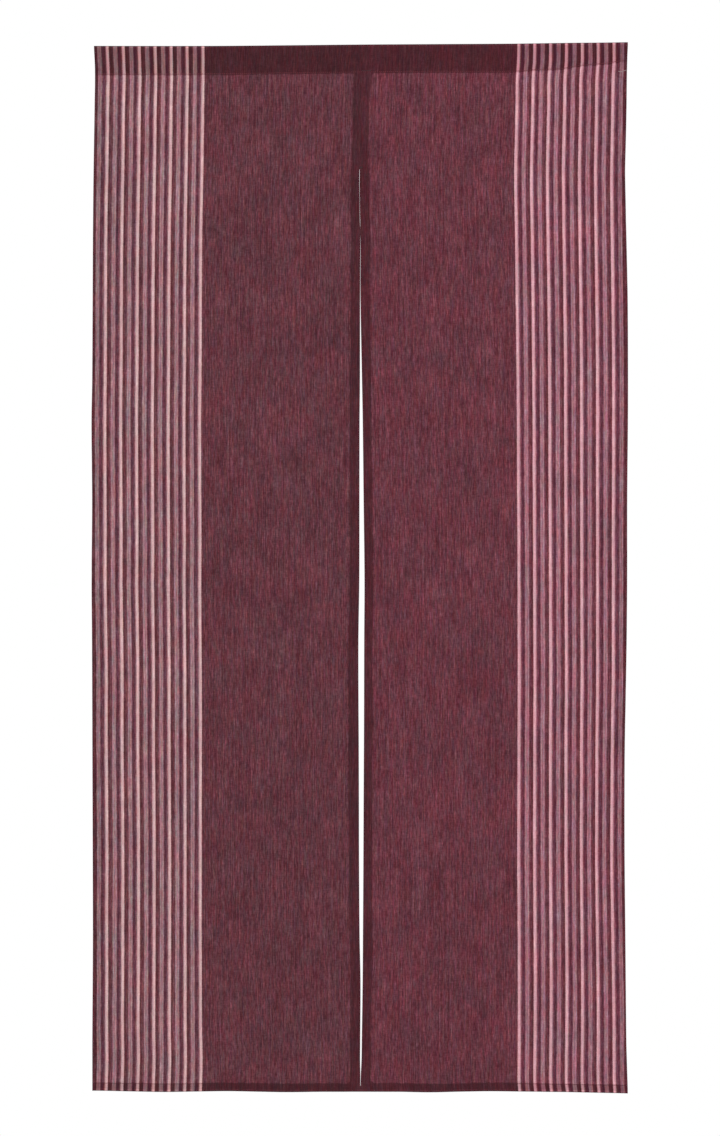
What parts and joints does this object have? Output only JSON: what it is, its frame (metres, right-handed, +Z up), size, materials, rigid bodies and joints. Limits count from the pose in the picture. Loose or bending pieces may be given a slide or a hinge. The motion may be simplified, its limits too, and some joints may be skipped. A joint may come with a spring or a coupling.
{
  "type": "noren curtain",
  "caption": "Door curtain of two striped cloth panels with a centre slit, hung from a sewn rod sleeve along the top edge.",
  "frame": {"origin": "middle of the heading's top edge, on the crest of the turned-over cloth", "axes": "+Z up, the curtain hangs towards -Z; the front of the cloth faces -Y; +X is to the right seen from the front"},
  "size_m": [0.8529, 0.0231, 1.6717],
  "materials": {
    "panel_cloth": "matt woven cloth, dark wine red with mauve and pink stripes",
    "heading_cloth": "the same cloth doubled, so darker"
  },
  "bodies": {
    "root": {"heading": "heading_cloth", "panel_left": "panel_cloth", "panel_right": "panel_cloth"}
  },
  "joints": []
}
